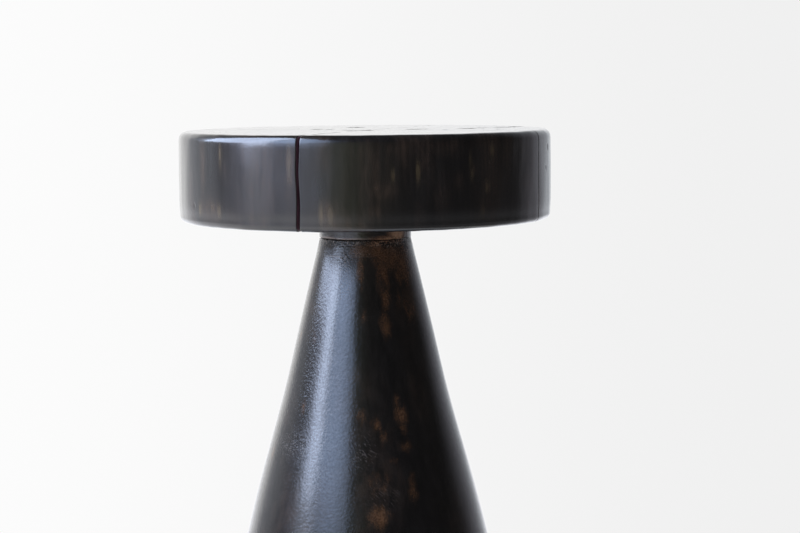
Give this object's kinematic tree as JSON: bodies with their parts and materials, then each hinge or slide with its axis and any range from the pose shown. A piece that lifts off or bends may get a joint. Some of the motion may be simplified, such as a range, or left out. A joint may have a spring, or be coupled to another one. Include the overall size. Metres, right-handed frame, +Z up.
{
  "type": "round pedestal stool",
  "caption": "Round wooden stool with a thick block-glued seat on a turned pedestal that flares from a narrow neck to a wide round base.",
  "frame": {"origin": "on the floor, on the stool's upright axis", "axes": "+Z up along the pedestal's axis, -Y towards the front, where the open seam of the seat shows left of the middle, +X to the right seen from the front"},
  "size_m": [0.3048, 0.3048, 0.4572],
  "materials": {
    "seat_wood": "ebonised, oiled satin",
    "pedestal_wood": "ebonised, polished satin",
    "dowel_wood": "bare",
    "glide_felt": "pressed felt"
  },
  "bodies": {
    "root": {"seat_block_front": "seat_wood", "seat_block_right": "seat_wood", "seat_block_back": "seat_wood", "seat_block_left": "seat_wood", "dowel_front_inner": "dowel_wood", "dowel_front_outer": "dowel_wood", "dowel_right_inner": "dowel_wood", "dowel_right_outer": "dowel_wood", "dowel_back_inner": "dowel_wood", "dowel_back_outer": "dowel_wood", "dowel_left_inner": "dowel_wood", "dowel_left_outer": "dowel_wood", "neck_collar": "pedestal_wood", "pedestal": "pedestal_wood", "glide_front": "glide_felt", "glide_right": "glide_felt", "glide_back": "glide_felt", "glide_left": "glide_felt"}
  },
  "joints": []
}
